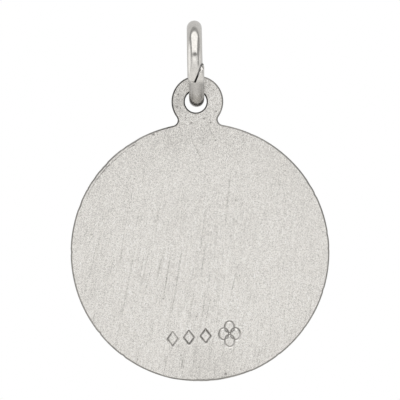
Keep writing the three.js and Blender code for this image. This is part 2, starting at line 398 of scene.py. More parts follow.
def punch_marks(points):
    """The row's depth, the tarnish and painted shade on its grooves' upper walls, and how much its metal is
    burnished and painted with highlight.
    """
    depth, tarnish, struck = np.zeros((3, len(points)))
    flow = noise_at(points, (1.7, 1.7), 5.0)
    rise, most = MARK_TARNISH_AND_SHADE
    for strike, lines in zip(STRIKES, mark_lines()):
        force = strike * np.clip(0.85 + 0.7 * flow, 0.4, 1)
        groove = force * groove_at(points, lines)
        lip = force * lip_at(points, lines)
        # painted shade: the darkening is kept to each groove's upper wall, the one that faces down
        climb = groove_at(points + MARK_PROBE, lines) - groove_at(points - MARK_PROBE, lines)
        depth = np.maximum(depth, MARK_DEPTH * groove) - LIP_HEIGHT * lip
        tarnish = np.maximum(tarnish, np.clip(rise * groove * np.clip(0.6 - climb, 0.05, 1), 0, most))
        struck = np.maximum(struck, np.clip(2 * groove + lip, 0, 1))
    return depth, tarnish, struck


def add_pits(points, depth, tarnish):
    for u, v, radius in PITS:
        bowl = 1 - smooth(np.linalg.norm(points - (u, v), axis=1), 0.3 * radius, radius)
        depth = depth + PIT_DEPTH * bowl
        tarnish = np.maximum(tarnish, PIT_TARNISH * bowl)
    return depth, tarnish


def add_scratches(points, depth, tarnish):
    """Scratches that are deepest along their middle and run out at both ends."""
    for start, end, strength in wear_lines():
        distance, share = along_segment(points, start, end)
        across = np.clip(1.3 - 2 * distance / SCRATCH_WIDTH, 0, 1)
        line = across * np.sin(math.pi * np.clip(share, 0.06, 0.94)) ** 0.4
        depth = depth + SCRATCH_DEPTH * strength * line
        tarnish = np.maximum(tarnish, SCRATCH_TARNISH * strength * line)
    return depth, tarnish


def add_darkening(points, tarnish):
    """Soft patches of painted shade, listed one by one, and a darkening all round the rim."""
    for u, v, radius, strength in SHADE_PATCHES:
        away = np.linalg.norm(points - (u, v), axis=1)
        tarnish = tarnish + strength * (1 - smooth(away, 0.1 * radius, radius))
    begin, whole = (DISC_RADIUS - reach for reach in RIM_DARKENING_REACH)
    radius = np.linalg.norm(points, axis=1)
    return tarnish + RIM_DARKENING * smooth(radius, begin, whole) * (radius < DISC_RADIUS)


def back_depth(points):
    """How deep each point of the back lies, how tarnished and painted with shade it is, and how much the
    punches burnished it and painted it with highlight.
    """
    depth, tarnish, struck = punch_marks(points)
    depth, tarnish = add_pits(points, depth, tarnish)
    depth, tarnish = add_scratches(points, depth, tarnish)
    waves = noise_at(points, (0.35, 0.25), 3.0)
    return depth + BACK_WAVES * (1 + waves), add_darkening(points, tarnish), struck


def cross_inset(points):
    """How far inside the cross a point lies, below zero outside it."""
    bar_v = CROSS_HEIGHT / 2 - CROSS_BAR_DROP
    upright = np.minimum(CROSS_BAR / 2 - abs(points[:, 0]), CROSS_HEIGHT / 2 - abs(points[:, 1]))
    arms = np.minimum(CROSS_WIDTH / 2 - abs(points[:, 0]), CROSS_BAR / 2 - abs(points[:, 1] - bar_v))
    return np.maximum(upright, arms)


def front_depth(points):
    """How deep each point of the front lies below the rim, and how tarnished it is."""
    radius = np.linalg.norm(points, axis=1)
    fall = np.clip((FIELD_RADIUS + RIM_SLOPE - radius) / RIM_SLOPE, 0, 1)
    rise = np.clip(cross_inset(points) / CROSS_BEVEL + 1e-6, 0, 1)
    depth = FIELD_DEPTH * fall - CROSS_RELIEF * rise
    near_rim = smooth(radius, FIELD_RADIUS - RIM_SHADE_REACH, FIELD_RADIUS) * (radius < FIELD_RADIUS + 0.1)
    near_cross = 1 - smooth(-cross_inset(points), 0, CROSS_SHADE_REACH)
    corner = CORNER_TARNISH * (rise <= 0) * np.maximum(near_rim, near_cross)
    return depth, corner + FIELD_TARNISH * (rise <= 0) * (fall >= 1)


# Nicks and a worn flat along the rim, places in degrees round the disc

NICK_SEED = 11
NICK_HALF_WIDTHS = (0.08, 0.34)
NICK_DEPTHS = (0.015, 0.05)
RIM_WANDER = 0.008
BITE_ON_BACK = 0.4  # how deep a nick reaches down the back's edge, and how far in at the front's
BITE_AT_FRONT = 0.3
RIM_FLAT_MIDDLE = 275
RIM_FLAT_REACH = 20
RIM_FLAT_DEPTH = 0.05
NICK_STRETCHES = [
    # from and to, in degrees, and how many
    (118, 158, 13), (262, 292, 7), (20, 80, 5), (160, 250, 6), (-60, 10, 5),
]


def rim_nicks(outline):
    """How far the rim is worn back at each point of the outline."""
    draw = random.Random(NICK_SEED)
    angles = np.degrees(np.arctan2(outline[:, 1], outline[:, 0]))
    on_disc = np.linalg.norm(outline, axis=1) < DISC_RADIUS + 0.01
    bite = np.zeros(len(outline))
    for start, end, count in NICK_STRETCHES:
        for _ in range(count):
            middle = draw.uniform(start, end)
            half_width = math.degrees(draw.uniform(*NICK_HALF_WIDTHS) / DISC_RADIUS)
            depth = draw.uniform(*NICK_DEPTHS)
            away = abs((angles - middle + 180) % 360 - 180)
            bite = np.maximum(bite, depth * np.clip(1 - away / half_width, 0, 1) ** 0.7)
    wander = RIM_WANDER * (1 + noise_at(outline, (0.5, 0.5), 7.0))
    from_flat = abs((angles - RIM_FLAT_MIDDLE + 180) % 360 - 180)
    flat = RIM_FLAT_DEPTH * (1 - smooth(from_flat, 0.5 * RIM_FLAT_REACH, RIM_FLAT_REACH))
    return (bite + wander + flat) * on_disc


def edge_darkness(outline):
    """The edge's painted shade as a multiple, heavier round the left of the tab."""
    on_tab = smooth(outline[:, 1], DISC_RADIUS - 1, DISC_RADIUS)
    on_left = smooth(-outline[:, 0], -0.5, 0.5)
    return 1 + TAB_EDGE_SHADE * on_tab * on_left


# Meshes

def hex_grid(low, high, spacing):
    rows = np.arange(low[1], high[1], spacing * math.sqrt(3) / 2)
    columns = np.arange(low[0], high[0], spacing)
    return np.array([(u + (i % 2) * spacing / 2, v) for i, v in enumerate(rows) for u in columns])


def stroke_lattice(start, end):
    """Points along a scratch, in rows across its width."""
    start, end = np.array(start), np.array(end)
    length = float(np.linalg.norm(end - start))
    along = (end - start) / length
    across = np.array((-along[1], along[0]))
    shares = np.linspace(0, 1, max(3, math.ceil(length / STROKE_STEP)))
    offsets = SCRATCH_WIDTH * np.array(STROKE_ROWS)
    return np.array([start + along * length * s + across * o for s in shares for o in offsets])


def clear_of(points, others, gap):
    """Which points lie further than the gap from all the others."""
    tree = kdtree.KDTree(len(others))
    for i, (u, v) in enumerate(others):
        tree.insert((u, v, 0), i)
    tree.balance()
    return np.array([tree.find((u, v, 0))[2] > gap for u, v in points], bool)


def flat_sheet(outer, hole, creases, fillings):
    """A triangulated face between the blank's outline and the hole, and where their points are in it.

    Creases are closed loops kept as edges. Each filling is its points and the least gap they keep.
    """
    loops = [outer, hole] + creases
    edges, first = [], 0
    for loop in loops:
        count = len(loop)
        edges += [(first + i, first + (i + 1) % count) for i in range(count)]
        first += count
    points = np.vstack(loops)
    for filling, gap in fillings:
        filling = filling[inside(filling, outer) & ~inside(filling, hole)]
        points = np.vstack((points, filling[clear_of(filling, points, gap)]))
    found = delaunay_2d_cdt([Vector(p) for p in points], edges, [], 0, 1e-6)
    flat = np.array([tuple(p) for p in found[0]])
    place = {given: new for new, all_given in enumerate(found[3]) for given in all_given}
    triangles = np.array(found[2])
    middles = flat[triangles].mean(1)
    triangles = triangles[inside(middles, outer) & ~inside(middles, hole)]
    outer_ids = [place[i] for i in range(len(outer))]
    hole_ids = [place[len(outer) + i] for i in range(len(hole))]
    return flat, triangles, outer_ids, hole_ids


def edge_loops(outline, normals, bite, back_round, front_round):
    """Loops and their heights from the back's edge, round the wall, to the front's edge."""
    half = THICKNESS / 2
    loops = []
    for k in range(EDGE_STEPS + 1):
        turn = math.pi / 2 * (k + EDGE_START) / (EDGE_STEPS + EDGE_START)
        inset = back_round * (1 - math.sin(turn)) + bite
        height = half - back_round * (1 - math.cos(turn)) - BITE_ON_BACK * bite * math.cos(turn)
        loops.append((outline - normals * inset[:, None], height))
    for k in range(EDGE_STEPS, 0, -1):
        turn = math.pi / 2 * k / EDGE_STEPS
        inset = front_round * (1 - math.sin(turn)) + BITE_AT_FRONT * bite
        height = np.full(len(outline), front_round * (1 - math.cos(turn)) - half)
        loops.append((outline - normals * inset[:, None], height))
    return loops


def shade_by_angle(obj, degrees):
    obj.data.shade_smooth()
    obj.data.set_sharp_from_angle(angle=math.radians(degrees))


def new_object(name, vertices, faces):
    mesh = bpy.data.meshes.new(name)
    mesh.from_pydata(vertices, [], faces)
    obj = bpy.data.objects.new(name, mesh)
    bpy.context.scene.collection.objects.link(obj)
    return obj


def outward_normals(obj):
    mesh = bmesh.new()
    mesh.from_mesh(obj.data)
    bmesh.ops.recalc_face_normals(mesh, faces=mesh.faces)
    mesh.to_mesh(obj.data)
    mesh.free()


# Medal

BACK, EDGE, FIELD, RAISED = range(4)


class Skin:
    """A mesh gathered part by part: its points, their tarnish and painted shade, its faces and their zones.
    """

    def __init__(self):
        self.points, self.tarnish, self.faces, self.zones = [], [], [], []

    def add_points(self, points, heights, tarnish):
        first = len(self.points)
        self.points.extend((u, v, w) for (u, v), w in zip(points, heights))
        self.tarnish.extend(tarnish)
        return first

    def add_faces(self, faces, zones):
        self.faces += faces
        self.zones += zones

    def add_wall(self, start_ids, end_ids, loops, wall_shades, darkness):
        """Rows of faces from the edge of one sheet, by way of the loops, to the edge of the other."""
        rows = [start_ids]
        # each loop of the wall takes its share of the painted shade
        for (points, heights), loop_shade in zip(loops, wall_shades):
            first = self.add_points(points, heights, loop_shade * darkness)
            rows.append([first + i for i in range(len(points))])
        rows.append(end_ids)
        for low, high in zip(rows, rows[1:]):
            for i in range(len(low)):
                j = (i + 1) % len(low)
                self.add_faces([(low[i], high[i], high[j], low[j])], [EDGE])


def sheet_filling():
    spacing, gap = SHEET_FILL
    return hex_grid((-DISC_RADIUS, -DISC_RADIUS), (DISC_RADIUS, TAB_HEIGHT + TAB_RADIUS), spacing), gap


def back_sheet(outline, hole):
    """The back's face, finest at the marks, pits and scratches."""
    spacing, gap = MARK_FILL
    marks = [(hex_grid(MARK_ROW - MARK_AREA, MARK_ROW + MARK_AREA, spacing), gap)]
    fine, close = PIT_FILL
    pits = [(hex_grid((u - r, v - r), (u + r, v + r), r / fine), r / close) for u, v, r in PITS]
    strokes = [(stroke_lattice(start, end), STROKE_GAP) for start, end, _ in wear_lines()]
    return flat_sheet(outline, hole, [], marks + pits + strokes + [sheet_filling()])


def front_sheet(outline, hole):
    """The front's face, creased along the rim and the cross, with rows beside them to carry their shade."""
    circles = (FIELD_RADIUS, FIELD_RADIUS + RIM_SLOPE)
    creases = [arc((0, 0), radius, 0, 2 * math.pi, CREASE_SPACING)[0] for radius in circles]
    creases += [divided(cross_outline(inset), CREASE_SPACING) for inset in (0, CROSS_BEVEL)]
    spacing, gap = SHADE_ROW_FILL
    shade_rows = [arc((0, 0), FIELD_RADIUS - away, 0, 2 * math.pi, spacing)[0] for away in FRONT_SHADE_ROWS]
    shade_rows += [divided(cross_outline(-away), spacing) for away in FRONT_SHADE_ROWS]
    return flat_sheet(outline, hole, creases, [(row, gap) for row in shade_rows] + [sheet_filling()])


def add_back(skin, outline, hole, bite):
    """The worn back. Returns its edge points' places and how much each of its points is burnished and
    painted with highlight.
    """
    flat, triangles, outline_ids, hole_ids = back_sheet(outline, hole)
    depth, tarnish, struck = back_depth(flat)
    depth[outline_ids] = BITE_ON_BACK * bite
    depth[hole_ids] = 0
    skin.add_points(flat, THICKNESS / 2 - depth, tarnish)
    skin.add_faces([tuple(t) for t in triangles], [BACK] * len(triangles))
    return outline_ids, hole_ids, struck


def add_front(skin, outline, hole):
    """The front with its relief. Returns its edge points' places."""
    flat, triangles, outline_ids, hole_ids = front_sheet(outline, hole)
    depth, tarnish = front_depth(flat)
    first = skin.add_points(flat, depth - THICKNESS / 2, tarnish)
    middles = flat[triangles].mean(1)
    is_field = (np.linalg.norm(middles, axis=1) < FIELD_RADIUS) & (cross_inset(middles) < 0)
    faces = [tuple(first + i for i in reversed(t)) for t in triangles]
    skin.add_faces(faces, [FIELD if f else RAISED for f in is_field])
    return [first + i for i in outline_ids], [first + i for i in hole_ids]


def medal_object(skin, struck):
    placed = [DISC_CENTRE + Vector((u, -w, v)) * MM for u, v, w in skin.points]
    medal = new_object("silver_medal", placed, skin.faces)
    medal.data.polygons.foreach_set("material_index", skin.zones)
    burnish_and_highlight = np.zeros(len(skin.points))
    burnish_and_highlight[:len(struck)] = struck
    # the tarnish attribute holds real tarnish and oxide as well as painted shade
    for name, values in (("tarnish", skin.tarnish), ("burnish_and_highlight", burnish_and_highlight)):
        attribute = medal.data.attributes.new(name, "FLOAT", "POINT")
        attribute.data.foreach_set("value", np.array(values, np.float32))
    outward_normals(medal)
    shade_by_angle(medal, MEDAL_CREASE)
    return medal


def build_medal():
    """Back, front, outer wall and the hole's wall, in the disc's frame: across, up and towards the back."""
    outer, outer_normals = blank_outline(OUTLINE_SPACING)
    hole, hole_normals = hole_outline(HOLE_SPACING)
    bite = rim_nicks(outer)
    back_outer = outer - outer_normals * (BACK_EDGE_ROUND + bite)[:, None]
    front_outer = outer - outer_normals * (FRONT_EDGE_ROUND + BITE_AT_FRONT * bite)[:, None]
    hole_edge = hole - hole_normals * HOLE_EDGE_ROUND
    skin = Skin()
    back_ids, back_hole_ids, struck = add_back(skin, back_outer, hole_edge, bite)
    front_ids, front_hole_ids = add_front(skin, front_outer, hole_edge)
    loops = edge_loops(outer, outer_normals, bite, BACK_EDGE_ROUND, FRONT_EDGE_ROUND)
    skin.add_wall(back_ids, front_ids, loops, OUTER_WALL_SHADE, edge_darkness(outer))
    loops = edge_loops(hole, hole_normals, np.zeros(len(hole)), HOLE_EDGE_ROUND, HOLE_EDGE_ROUND)
    skin.add_wall(back_hole_ids, front_hole_ids, loops, HOLE_WALL_SHADE, np.ones(len(hole)))
    return medal_object(skin, struck)


# Jump ring

def cut_middle(x):
    """Where the slanted cut runs along the wire, for a place across it."""
    share = np.clip((x - CUT_SLANT[0]) / (CUT_SLANT[1] - CUT_SLANT[0]), 0, 1)
    return (share - 0.5) * CUT_LENGTH


def wire_rows(length):
    """Places along the wire from its upper end to its lower one, and how far it is thinned at each."""
    start = TIP_CLEARANCE * LOWER_TIP[-1][0]
    middle = np.linspace(start, length - start, WIRE_STEPS)
    lower_end = [(length - along, thinning) for along, thinning in reversed(LOWER_TIP)]
    return UPPER_TIP + [(float(along), 0.0) for along in middle] + lower_end


def cut_shift(x, outward, side):
    """How far along the wire the cut moves an end's points, for their place across the wire and outwards."""
    climb = np.clip(cut_middle(x) / CUT_LENGTH + 0.5, 0, 1)
    half_slot = (SLOT_WIDTH[0] + (SLOT_WIDTH[1] - SLOT_WIDTH[0]) * climb) / 2
    return cut_middle(x + side * half_slot) + side * CUT_KERF / 2 - SLOT_TILT * (outward - RING_RADIUS)


def wire_section(along, thinning, length, round_wire):
    """The wire's points round one place along it, its two ends sprung apart and cut on a slant."""
    is_lower = along > length / 2
    from_end = min(along, length - along)
    worn_stretch = smooth(np.sin(round_wire), *WORN_SIDE) * smooth(np.cos(round_wire), *WORN_FRONT)
    lower_share = LOWER_TIP_LEAST + (1 - LOWER_TIP_LEAST) * worn_stretch
    thinned = thinning * (lower_share if is_lower else 1)
    radius = WIRE_RADIUS - thinned
    near_end = 1 - smooth(from_end, 0, END_BLEND * length)
    side, spread = (-1, LOWER_SPREAD) if is_lower else (1, -UPPER_SPREAD)
    share = 1 - from_end / (length / 2)
    x = radius * np.sin(round_wire) + share * spread - (LOWER_TIP_SLEW * thinned if is_lower else 0)
    outward = RING_RADIUS + radius * np.cos(round_wire) - (LOWER_SINK * near_end if is_lower else 0)
    turn = (along + cut_shift(x, outward, side) * near_end) / RING_RADIUS
    angle = turn - CUT_DROP
    places = zip(x, -outward * np.cos(angle), outward * np.sin(angle))
    return [RING_CENTRE + Vector(place) * MM for place in places]


def wire_faces(row_count):
    """The wire's long faces, row by row."""
    faces = []
    for a in range(0, (row_count - 1) * WIRE_SIDES, WIRE_SIDES):
        b = a + WIRE_SIDES
        for i in range(WIRE_SIDES):
            j = (i + 1) % WIRE_SIDES
            faces.append((a + i, b + i, b + j, a + j))
    return faces


def end_faces(first):
    """One cut end of the wire, closed by strips from side to side."""
    half = WIRE_SIDES // 2
    faces = []
    for i in range(-half // 2, half // 2):
        near = [i % WIRE_SIDES, (i + 1) % WIRE_SIDES]
        far = [(half - i - 1) % WIRE_SIDES, (half - i) % WIRE_SIDES]
        faces.append(tuple(first + corner for corner in dict.fromkeys(near + far)))
    return faces


def build_ring():
    length = 2 * math.pi * RING_RADIUS
    round_wire = 2 * math.pi * np.arange(WIRE_SIDES) / WIRE_SIDES
    rows = wire_rows(length)
    vertices = []
    for along, thinning in rows:
        vertices += wire_section(along, thinning, length, round_wire)
    wire = wire_faces(len(rows))
    ends = end_faces(0) + end_faces((len(rows) - 1) * WIRE_SIDES)
    ring = new_object("open_jump_ring", vertices, wire + ends)
    ring.data.polygons.foreach_set("material_index", [0] * len(wire) + [1] * len(ends))
    outward_normals(ring)
    shade_by_angle(ring, WIRE_CREASE)
    return ring


# Materials

NOISE_RANGE = (0.3, 0.7)  # nearly all of a noise lies between these


class Nodes:
    """Short ways to add and link shader nodes in one tree."""

    def __init__(self, tree):
        self.nodes = tree.nodes
        self.links = tree.links

    def plug(self, socket, value):
        if isinstance(value, bpy.types.NodeSocket):
            self.links.new(value, socket)
        elif isinstance(value, tuple) and len(value) == 3 and socket.type == "RGBA":
            socket.default_value = (*value, 1)
        else:
            socket.default_value = value

    def add(self, kind, inputs=None, **settings):
        node = self.nodes.new(kind)
        for key, value in settings.items():
            setattr(node, key, value)
        for key, value in (inputs or {}).items():
            self.plug(node.inputs[key], value)
        return node

    def math(self, operation, *values):
        return self.add("ShaderNodeMath", dict(enumerate(values)), operation=operation).outputs[0]

    def total(self, *values):
        result = values[0]
        for value in values[1:]:
            result = self.math("ADD", result, value)
        return result

    def product(self, *values):
        result = values[0]
        for value in values[1:]:
            result = self.math("MULTIPLY", result, value)
        return result

    def ranged(self, value, low, high, to_low=0.0, to_high=1.0, soft=False):
        node = self.add("ShaderNodeMapRange", {
            "Value": value, "From Min": low, "From Max": high, "To Min": to_low, "To Max": to_high,
        })
        node.interpolation_type = "SMOOTHSTEP" if soft else "LINEAR"
        return node.outputs["Result"]

    def band(self, value, low, high, softness):
        """One between low and high, falling softly to nothing outside."""
        rise = self.ranged(value, low - softness, low + softness, soft=True)
        fall = self.ranged(value, high - softness, high + softness, 1.0, 0.0, soft=True)
        return self.product(rise, fall)

    def mixed(self, share, first, second, blend="MIX"):
        inputs = {0: share, 6: first, 7: second}
        return self.add("ShaderNodeMix", inputs, data_type="RGBA", blend_type=blend).outputs[2]

    def grey(self, value):
        return self.add("ShaderNodeCombineColor", {0: value, 1: value, 2: value}).outputs[0]


class Shader(Nodes):
    """A metal material with its nodes. Its noises are counted in cycles to a millimetre."""

    def __init__(self, name, colour, roughness):
        self.material = bpy.data.materials.new(name)
        self.material.use_nodes = True
        super().__init__(self.material.node_tree)
        self.surface = self.nodes["Principled BSDF"]
        self.surface.inputs["Metallic"].default_value = 1.0
        self.surface.inputs["Base Color"].default_value = (*colour, 1)
        self.surface.inputs["Roughness"].default_value = roughness
        self.coordinates = self.nodes.new("ShaderNodeTexCoord").outputs["Object"]
        self.place = self.add("ShaderNodeSeparateXYZ", {0: self.coordinates}).outputs

    def spread(self, value, low, high):
        """A noise spread over the range from low to high."""
        return self.ranged(value, *NOISE_RANGE, low, high)

    def stretched(self, per_mm, lean=0.0):
        """Object coordinates in cycles, per_mm along X, Y and Z, after a lean to the right going up."""
        turned = self.add("ShaderNodeMapping", {"Vector": self.coordinates, "Rotation": (0, -lean, 0)})
        scale = tuple(n / MM for n in per_mm)
        return self.add("ShaderNodeMapping", {"Vector": turned.outputs[0], "Scale": scale}).outputs[0]

    def noise(self, per_mm, detail=2.0, rough=0.5, lean=0.0):
        node = self.add("ShaderNodeTexNoise", {
            "Vector": self.stretched(per_mm, lean), "Scale": 1.0, "Detail": detail, "Roughness": rough,
        })
        return node.outputs["Fac"]

    def specks(self, per_mm, radius, share):
        """Scattered round spots: their radius in cells, and the share of cells that have one."""
        cells = self.add("ShaderNodeTexVoronoi", {"Vector": self.stretched((per_mm,) * 3), "Scale": 1.0})
        chosen = self.add("ShaderNodeSeparateColor", {0: cells.outputs["Color"]}).outputs[0]
        spot = self.ranged(cells.outputs["Distance"], 0.4 * radius, radius, 1.0, 0.0, soft=True)
        return self.product(spot, self.math("LESS_THAN", chosen, share))

    def bump(self, height, strength, distance_mm, after=None):
        inputs = {"Height": height, "Strength": strength, "Distance": distance_mm * MM}
        if after is not None:
            inputs["Normal"] = after
        return self.add("ShaderNodeBump", inputs).outputs["Normal"]

    def attribute(self, name):
        return self.add("ShaderNodeAttribute", attribute_name=name).outputs["Fac"]

    def finish(self, colour=None, roughness=None, normal=None):
        for key, value in (("Base Color", colour), ("Roughness", roughness), ("Normal", normal)):
            if value is not None:
                self.links.new(value, self.surface.inputs[key])
        return self.material


def in_metres(lengths):
    return [length * MM for length in lengths]


SILVER = (0.9, 0.882, 0.85)
DULL_SILVER = (0.68, 0.665, 0.64)
# the dark colour of tarnish, also used for painted shade
TARNISH_AND_SHADE_COLOUR = (0.07, 0.067, 0.063)

# The satin back: heights in millimetres, tones as shares of the silver's colour
BACK_TONE = 0.94
HAIR_SWING = 0.06
GRAIN_SWING = 0.29
BRUSH_SWING = 0.015
CLOUD_SWING = 0.01
TAB_HEIGHTS = (-9.5, -7.0)
UPPER_HEIGHTS = (-16, -12)
LOWER_LEFT_HEIGHTS = (-17, -11)
LINE_DARKNESS = 0.14
SPOT_DARKNESS = 0.25
# painted shade: the tab, and the back towards its top, are painted darker
TAB_PAINTED_SHADE = 0.03
UPPER_PAINTED_SHADE = 0.022
# painted highlight: struck metal is painted lighter; its smoothness below is the real burnish
STRUCK_HIGHLIGHT = 0.12
STRUCK_SMOOTHNESS = 0.16


def satin_back():
    s = Shader("satin_back", SILVER, 0.4)
    across, up = s.place["X"], s.place["Z"]
    on_tab = s.ranged(up, *in_metres(TAB_HEIGHTS), soft=True)
    slanting = s.total(s.product(across, 0.6), up)
    lower_left = s.ranged(slanting, *in_metres(LOWER_LEFT_HEIGHTS), 1.0, 0.25, soft=True)
    hair = s.noise((14, 14, 0.8), 1, 0.6, HAIR_LEAN)
    grain = s.noise((16, 16, 16), 1, 0.7)
    brush = s.noise((12, 12, 0.35), 1, 0.6, BRUSH_LEAN)
    cloud = s.noise((0.35, 0.35, 0.25), 3, 0.55)
    long_line = s.ranged(s.noise((9, 9, 0.2), 1, 0.4, BRUSH_LEAN), 0.66, 0.72)
    long_line = s.product(long_line, lower_left)
    spots = s.product(s.specks(5, 0.3, 0.16), s.ranged(s.noise((0.5, 0.5, 0.5)), 0.5, 0.62))
    spots = s.math("MAXIMUM", spots, s.product(s.specks(7, 0.35, 0.35), on_tab))
    swing = s.total(
        s.product(s.spread(hair, -HAIR_SWING, HAIR_SWING), s.ranged(lower_left, 0.25, 1, 0.6, 1.0)),
        s.product(s.spread(grain, -GRAIN_SWING, GRAIN_SWING), s.ranged(on_tab, 0, 1, 1.0, 1.15)),
        s.product(s.spread(brush, -BRUSH_SWING, BRUSH_SWING), lower_left),
        s.spread(cloud, -CLOUD_SWING, CLOUD_SWING),
    )
    dark = s.total(
        s.product(long_line, LINE_DARKNESS),
        s.product(spots, SPOT_DARKNESS),
        # painted shade on the tab and towards the top
        s.product(on_tab, TAB_PAINTED_SHADE),
        s.ranged(up, *in_metres(UPPER_HEIGHTS), 0.0, UPPER_PAINTED_SHADE, soft=True),
    )
    # painted highlight where the punches struck
    burnish_and_highlight = s.attribute("burnish_and_highlight")
    tone = s.math("SUBTRACT", s.total(BACK_TONE, swing, s.product(burnish_and_highlight, STRUCK_HIGHLIGHT)), dark)
    colour = s.mixed(1.0, SILVER, s.grey(tone), "MULTIPLY")
    colour = s.mixed(s.attribute("tarnish"), colour, TARNISH_AND_SHADE_COLOUR)
    rough = s.math("SUBTRACT", s.spread(brush, 0.34, 0.46), s.product(burnish_and_highlight, STRUCK_SMOOTHNESS))
    normal = s.bump(hair, 0.3, 0.01)
    normal = s.bump(brush, 0.2, 0.015, normal)
    normal = s.bump(grain, 0.4, 0.012, normal)
    normal = s.bump(s.math("ADD", spots, long_line), 0.5, -0.02, normal)
    return s.finish(colour, rough, normal)


# The wall's material: dull silver, mixed towards the dark colour by the painted shade its points carry
def edge_wear_and_shade():
    s = Shader("edge_wear_and_shade", DULL_SILVER, 0.4)
    spots = s.noise((2.5, 2.5, 2.5), 3, 0.6)
    lines = s.noise((1.2, 9, 1.2), 2, 0.6)
    share = s.product(s.attribute("tarnish"), s.spread(spots, 0.85, 1.12))
    colour = s.mixed(share, DULL_SILVER, TARNISH_AND_SHADE_COLOUR)
    rough = s.spread(spots, 0.3, 0.5)
    return s.finish(colour, rough, s.bump(lines, 0.3, 0.01))


def matte_field():
    s = Shader("matte_field", DULL_SILVER, 0.55)
    grain = s.noise((7, 7, 7), 2, 0.6)
    cloud = s.noise((0.9, 0.9, 0.9), 3, 0.6)
    share = s.product(s.attribute("tarnish"), s.spread(cloud, 0.85, 1.15))
    colour = s.mixed(share, DULL_SILVER, TARNISH_AND_SHADE_COLOUR)
    rough = s.spread(grain, 0.45, 0.65)
    return s.finish(colour, rough, s.bump(grain, 0.5, 0.02))


def raised_relief():
    s = Shader("raised_relief", SILVER, 0.25)
    rubbed = s.noise((5, 5, 0.8), 3, 0.6, BRUSH_LEAN)
    cloud = s.noise((0.8, 0.8, 0.8), 3, 0.6)
    colour = s.mixed(s.ranged(cloud, 0.45, 0.8, 0.0, 0.35), SILVER, DULL_SILVER)
    rough = s.spread(rubbed, 0.2, 0.36)
    return s.finish(colour, rough, s.bump(rubbed, 0.2, 0.008))


WIRE_TONE = 0.9
RUBBED_DROP = (1.6, 1.2)  # from the ring's middle down to where the wire is wholly and hardly rubbed rough and painted darker at its sides
SIDE_SHADE_ACROSS = (0.1, 0.45)  # from the wire's middle to where its painted shade is least and most
# painted shade on the lower wire's sides
SIDE_SHADE_DARKNESS = (0.3, 0.5)
# painted reflection: a small dark spot painted on the wire's front, in its colour only
WIRE_DARK_SPOT = tuple(RING_CENTRE + Vector((0.0, -3.1, 0.6)) * MM)
DARK_SPOT_RADII = (0.07, 0.17)
DARK_SPOT_DARKNESS = 0.5


def polished_wire():
    s = Shader("polished_wire", SILVER, 0.12)
    drawn = s.noise((12, 1.5, 1.5), 2, 0.5)
    grain = s.noise((6, 6, 6), 2, 0.6)
    cloud = s.noise((1.1, 1.1, 1.1), 3, 0.6)
    tone = s.total(WIRE_TONE, s.spread(grain, -0.07, 0.07), s.spread(cloud, -0.06, 0.06))
    colour = s.mixed(1.0, SILVER, s.grey(tone), "MULTIPLY")
    low, high = (RING_CENTRE.z - drop for drop in in_metres(RUBBED_DROP))
    rubbed = s.ranged(s.place["Z"], low, high, 1.0, 0.0, soft=True)
    # painted shade: the lower wire is painted darker towards its sides
    to_side = s.ranged(s.math("ABSOLUTE", s.place["X"]), *in_metres(SIDE_SHADE_ACROSS), *SIDE_SHADE_DARKNESS)
    # painted dark reflection on the wire's front
    from_dark_spot = {0: s.coordinates, 1: WIRE_DARK_SPOT}
    away = s.add("ShaderNodeVectorMath", from_dark_spot, operation="DISTANCE").outputs["Value"]
    dark_spot = s.ranged(away, *in_metres(DARK_SPOT_RADII), 1.0, 0.0, soft=True)
    dark = s.math("MAXIMUM", s.product(rubbed, to_side), s.product(dark_spot, DARK_SPOT_DARKNESS))
    colour = s.mixed(dark, colour, TARNISH_AND_SHADE_COLOUR)
    rough = s.total(s.spread(cloud, 0.1, 0.2), s.product(rubbed, 0.12))
    normal = s.bump(cloud, 0.25, 0.05)
    normal = s.bump(grain, 0.25, 0.01, normal)
    return s.finish(colour, rough, s.bump(drawn, 0.12, 0.006, normal))


# painted shade: the cut ends are painted mostly dark, for the shade in the cut, with saw lines through it
def sawn_end_and_shade():
    s = Shader("sawn_end_and_shade", DULL_SILVER, 0.3)
    saw_lines = s.noise((1.5, 10, 10), 2, 0.6)
    colour = s.mixed(s.spread(saw_lines, 0.6, 0.9), DULL_SILVER, TARNISH_AND_SHADE_COLOUR)
    rough = s.spread(saw_lines, 0.25, 0.4)
    return s.finish(colour, rough, s.bump(saw_lines, 0.4, 0.01))


# Light, floor and camera

# Heights in degrees, from level on the camera's side up over the medal, across as a direction's X
TENT_COLOUR = (1.0, 0.99, 0.975)
TENT = 0.82
FLOOR_SIDE = 0.42
FLOOR_SIDE_HEIGHTS = (-50, -5)
FAR_SIDE = 0.62
SOFTBOX = 1.2
SOFTBOX_HEIGHTS = (31, 95)
SOFTBOX_ACROSS = (-0.6, 0.62)
CARD = 1.15
CARD_HEIGHTS = (7, 17)
CARD_ACROSS = (-0.4, 0.3)
DARK_GAP = 0.34
FRAME_HEIGHTS = (23, 117)
FRAME_ACROSS = (-0.82, 0.88)
SIDE_GAP_HEIGHTS = (-12, 117)
LEFT_GAP_ACROSS = (-0.8, -0.64)
RIGHT_GAP_ACROSS = (0.74, 0.94)
LEFT_GAP = 0.75  # how much of that darkness the gap on the left has
STRIP = 1.05
STRIP_ACROSS = (-0.85, -0.92)
STRIP_BEHIND = (-0.15, 0.35)


